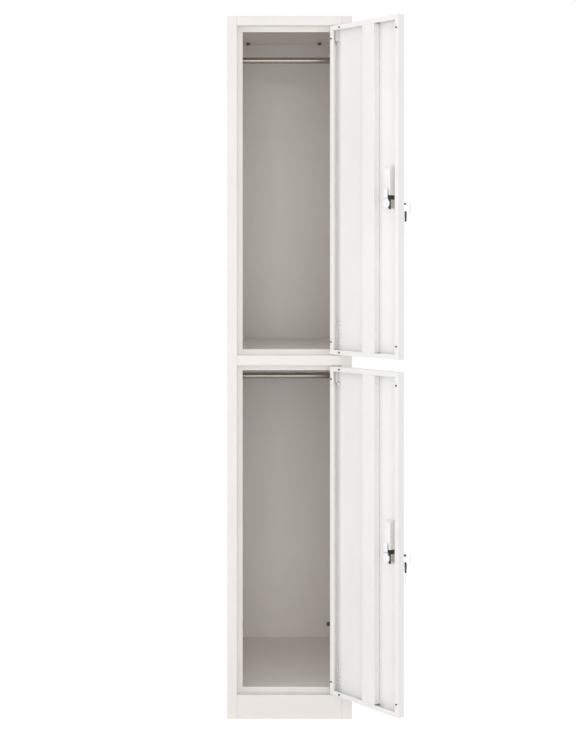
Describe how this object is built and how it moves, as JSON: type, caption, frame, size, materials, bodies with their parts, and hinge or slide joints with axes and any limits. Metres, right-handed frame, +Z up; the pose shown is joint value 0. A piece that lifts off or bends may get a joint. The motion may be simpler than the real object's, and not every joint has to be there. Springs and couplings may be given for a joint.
{
  "type": "locker cabinet",
  "caption": "Tall narrow sheet-steel locker with stacked compartments, hinged doors standing open, hanging rods and key locks in recessed pulls.",
  "frame": {"origin": "on the floor at mid-width, on the plinth's foot, 10 mm behind the front face", "axes": "+X to the right seen from the front, +Y towards the back, +Z up"},
  "size_m": [0.4567, 0.7502, 1.8026],
  "materials": {
    "frame_paint": "white powder coat, fine orange peel",
    "door_paint": "white powder coat, fine orange peel",
    "bracket_paint": "thin white powder coat",
    "dark_steel": "black oxide",
    "chrome": "bright plated",
    "zinc_steel": "bright zinc plate",
    "spring_steel": "plated spring wire",
    "cast_zinc": "bare die-cast zinc",
    "lock_chrome": "satin chrome on die-cast zinc",
    "white_nylon": "natural nylon",
    "cup_plastic": "moulded warm white plastic",
    "black_rubber": "moulded black rubber",
    "black_plastic": "moulded black plastic",
    "key_steel": "nickel plate"
  },
  "bodies": {
    "cabinet": {"left_side_panel": "frame_paint", "right_side_panel": "frame_paint", "back_panel": "frame_paint", "top_panel": "frame_paint", "mid_shelf": "frame_paint", "floor_panel": "frame_paint", "plinth": "frame_paint", "back_panel_screws": "dark_steel", "back_panel_nuts": "dark_steel", "upper_rod": "chrome", "lower_rod": "chrome", "rod_sockets": "zinc_steel", "socket_rivets": "zinc_steel", "hinge_bushes": "white_nylon"},
    "upper_door": {"upper_door_panel": "door_paint", "upper_door_stiffener": "door_paint", "upper_door_buffers": "black_rubber", "upper_hinge_bracket": "bracket_paint", "upper_bottom_plate": "bracket_paint", "upper_bottom_pin": "zinc_steel", "upper_pull_cup": "cup_plastic", "upper_lock_case": "black_plastic", "upper_lock_housing": "cast_zinc", "upper_lock_cylinder": "lock_chrome"},
    "upper_bolt": {"upper_hinge_bolt": "zinc_steel", "upper_hinge_spring": "spring_steel"},
    "upper_lock": {"upper_lock_plug": "lock_chrome", "upper_lock_cam": "zinc_steel", "upper_cam_screw": "zinc_steel"},
    "upper_key": {"upper_key_blade": "key_steel", "upper_key_bow": "black_plastic"},
    "upper_ring": {"upper_key_ring": "key_steel"},
    "upper_spare_key": {"upper_spare_blade": "key_steel", "upper_spare_bow": "black_plastic"},
    "lower_door": {"lower_door_panel": "door_paint", "lower_door_stiffener": "door_paint", "lower_door_buffers": "black_rubber", "lower_hinge_bracket": "bracket_paint", "lower_bottom_plate": "bracket_paint", "lower_bottom_pin": "zinc_steel", "lower_pull_cup": "cup_plastic", "lower_lock_case": "black_plastic", "lower_lock_housing": "cast_zinc", "lower_lock_cylinder": "lock_chrome"},
    "lower_bolt": {"lower_hinge_bolt": "zinc_steel", "lower_hinge_spring": "spring_steel"},
    "lower_lock": {"lower_lock_plug": "lock_chrome", "lower_lock_cam": "zinc_steel", "lower_cam_screw": "zinc_steel"},
    "lower_key": {"lower_key_blade": "key_steel", "lower_key_bow": "black_plastic"},
    "lower_ring": {"lower_key_ring": "key_steel"},
    "lower_spare_key": {"lower_spare_blade": "key_steel", "lower_spare_bow": "black_plastic"}
  },
  "joints": [
    {"name": "upper_door_hinge", "type": "hinge", "parent": "cabinet", "child": "upper_door", "pos_m": [0.1212, -0.0055, 0.9335], "axis": [0, 0, 1], "range_deg": [-126, 12]},
    {"name": "upper_hinge_bolt_slide", "type": "slide", "parent": "upper_door", "child": "upper_bolt", "axis": [0, 0, -1], "range_m": [0, 0.01], "stiffness_N_per_m": 300, "springref_m": -0.005, "deforming": ["upper_hinge_spring"]},
    {"name": "upper_lock_turn", "type": "hinge", "parent": "upper_door", "child": "upper_lock", "pos_m": [0.25133, -0.17696, 1.314], "axis": [-0.809, -0.5878, 0], "range_deg": [-90, 0]},
    {"name": "upper_key_slide", "type": "slide", "parent": "upper_lock", "child": "upper_key", "axis": [0.809, 0.5878, 0], "range_m": [0, 0.024]},
    {"name": "upper_ring_swing", "type": "hinge", "parent": "upper_key", "child": "upper_ring", "pos_m": [0.27665, -0.15856, 1.314], "axis": [0.5878, -0.809, 0], "range_deg": [-3, 90]},
    {"name": "upper_spare_swing", "type": "hinge", "parent": "upper_ring", "child": "upper_spare_key", "pos_m": [0.28173, -0.15487, 1.29058], "axis": [0.809, 0.5878, 0], "range_deg": [-40, 40]},
    {"name": "lower_door_hinge", "type": "hinge", "parent": "cabinet", "child": "lower_door", "pos_m": [0.1212, -0.0055, 0.0635], "axis": [0, 0, 1], "range_deg": [-126, 12]},
    {"name": "lower_hinge_bolt_slide", "type": "slide", "parent": "lower_door", "child": "lower_bolt", "axis": [0, 0, -1], "range_m": [0, 0.01], "stiffness_N_per_m": 300, "springref_m": -0.005, "deforming": ["lower_hinge_spring"]},
    {"name": "lower_lock_turn", "type": "hinge", "parent": "lower_door", "child": "lower_lock", "pos_m": [0.25133, -0.17696, 0.448], "axis": [-0.809, -0.5878, 0], "range_deg": [-90, 0]},
    {"name": "lower_key_slide", "type": "slide", "parent": "lower_lock", "child": "lower_key", "axis": [0.809, 0.5878, 0], "range_m": [0, 0.024]},
    {"name": "lower_ring_swing", "type": "hinge", "parent": "lower_key", "child": "lower_ring", "pos_m": [0.27665, -0.15856, 0.448], "axis": [0.5878, -0.809, 0], "range_deg": [-3, 90]},
    {"name": "lower_spare_swing", "type": "hinge", "parent": "lower_ring", "child": "lower_spare_key", "pos_m": [0.28173, -0.15487, 0.42458], "axis": [0.809, 0.5878, 0], "range_deg": [-40, 40]}
  ]
}
